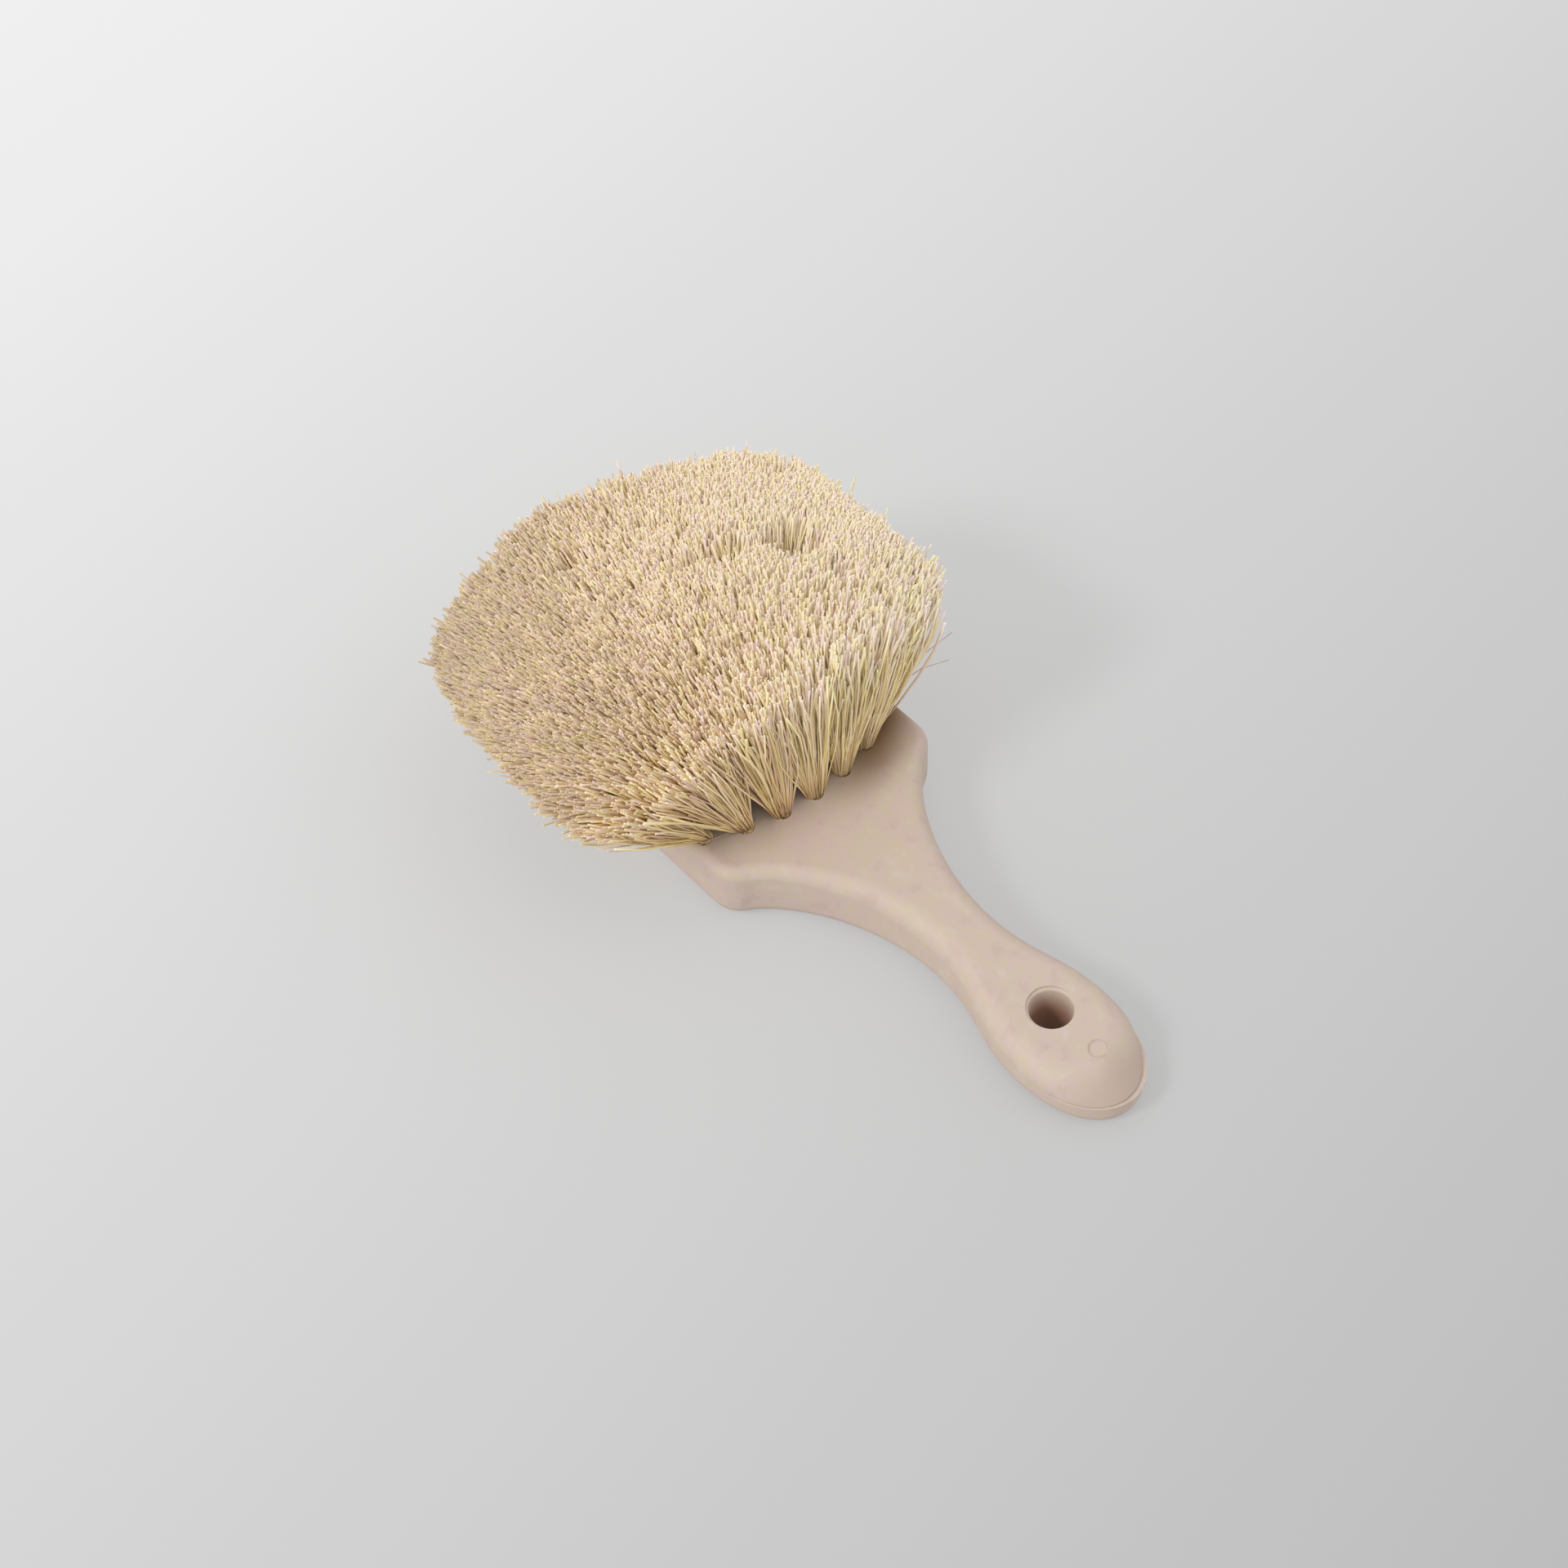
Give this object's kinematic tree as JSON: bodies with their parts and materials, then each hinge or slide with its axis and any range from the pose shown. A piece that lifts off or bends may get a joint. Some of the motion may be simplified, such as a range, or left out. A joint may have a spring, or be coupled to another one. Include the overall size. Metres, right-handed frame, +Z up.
{
  "type": "pot brush",
  "caption": "Short-handled pot brush: a moulded block with a flared head of stiff plant fibre tufts, each held in a drilled hole by a flat wire anchor, and a hanging hole in the handle.",
  "frame": {"origin": "middle of the head's flat back, on the surface that the brush lies on", "axes": "+X along the brush to the handle's end, +Y across the head, +Z up out of the tufted face"},
  "size_m": [0.2207, 0.1286, 0.0704],
  "materials": {
    "block_plastic": "moulded structural foam, satin, pinkish tan",
    "fibre": "stiff cream plant fibre, dry and matte",
    "anchor_wire": "flat drawn wire"
  },
  "bodies": {
    "root": {"block": "block_plastic", "tufts_rows_1_to_2": "fibre", "tufts_rows_3_to_4": "fibre", "tufts_rows_5_to_6": "fibre", "tufts_rows_7_to_8": "fibre", "anchor_01": "anchor_wire", "anchor_02": "anchor_wire", "anchor_03": "anchor_wire", "anchor_04": "anchor_wire", "anchor_05": "anchor_wire", "anchor_06": "anchor_wire", "anchor_07": "anchor_wire", "anchor_08": "anchor_wire", "anchor_09": "anchor_wire", "anchor_10": "anchor_wire", "anchor_11": "anchor_wire", "anchor_12": "anchor_wire", "anchor_13": "anchor_wire", "anchor_14": "anchor_wire", "anchor_15": "anchor_wire", "anchor_16": "anchor_wire", "anchor_17": "anchor_wire", "anchor_18": "anchor_wire", "anchor_19": "anchor_wire", "anchor_20": "anchor_wire", "anchor_21": "anchor_wire", "anchor_22": "anchor_wire", "anchor_23": "anchor_wire", "anchor_24": "anchor_wire", "anchor_25": "anchor_wire", "anchor_26": "anchor_wire", "anchor_27": "anchor_wire", "anchor_28": "anchor_wire", "anchor_29": "anchor_wire", "anchor_30": "anchor_wire", "anchor_31": "anchor_wire", "anchor_32": "anchor_wire", "anchor_33": "anchor_wire", "anchor_34": "anchor_wire", "anchor_35": "anchor_wire", "anchor_36": "anchor_wire", "anchor_37": "anchor_wire", "anchor_38": "anchor_wire", "anchor_39": "anchor_wire", "anchor_40": "anchor_wire", "anchor_41": "anchor_wire", "anchor_42": "anchor_wire", "anchor_43": "anchor_wire", "anchor_44": "anchor_wire", "anchor_45": "anchor_wire", "anchor_46": "anchor_wire", "anchor_47": "anchor_wire", "anchor_48": "anchor_wire", "anchor_49": "anchor_wire", "anchor_50": "anchor_wire", "anchor_51": "anchor_wire", "anchor_52": "anchor_wire"}
  },
  "joints": []
}
